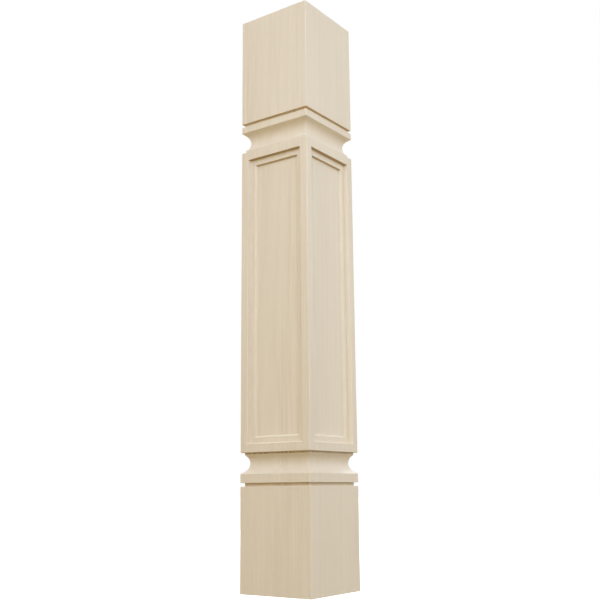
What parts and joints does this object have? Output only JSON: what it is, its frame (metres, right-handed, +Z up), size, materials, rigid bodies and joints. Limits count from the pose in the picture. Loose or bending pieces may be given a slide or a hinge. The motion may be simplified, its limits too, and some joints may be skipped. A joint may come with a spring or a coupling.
{
  "type": "cabinet column",
  "caption": "Square wooden post with plain end blocks, coved necks and a stepped recessed panel on every side, for cabinet and island corners.",
  "frame": {"origin": "centre of the square underside, on the floor", "axes": "+Z up along the column's axis, front face towards -Y, right face towards +X"},
  "size_m": [0.127, 0.127, 0.9017],
  "materials": {
    "wood": "bare pale hardwood, sanded and unfinished, fine straight grain along the height"
  },
  "bodies": {
    "root": {"column": "wood"}
  },
  "joints": []
}
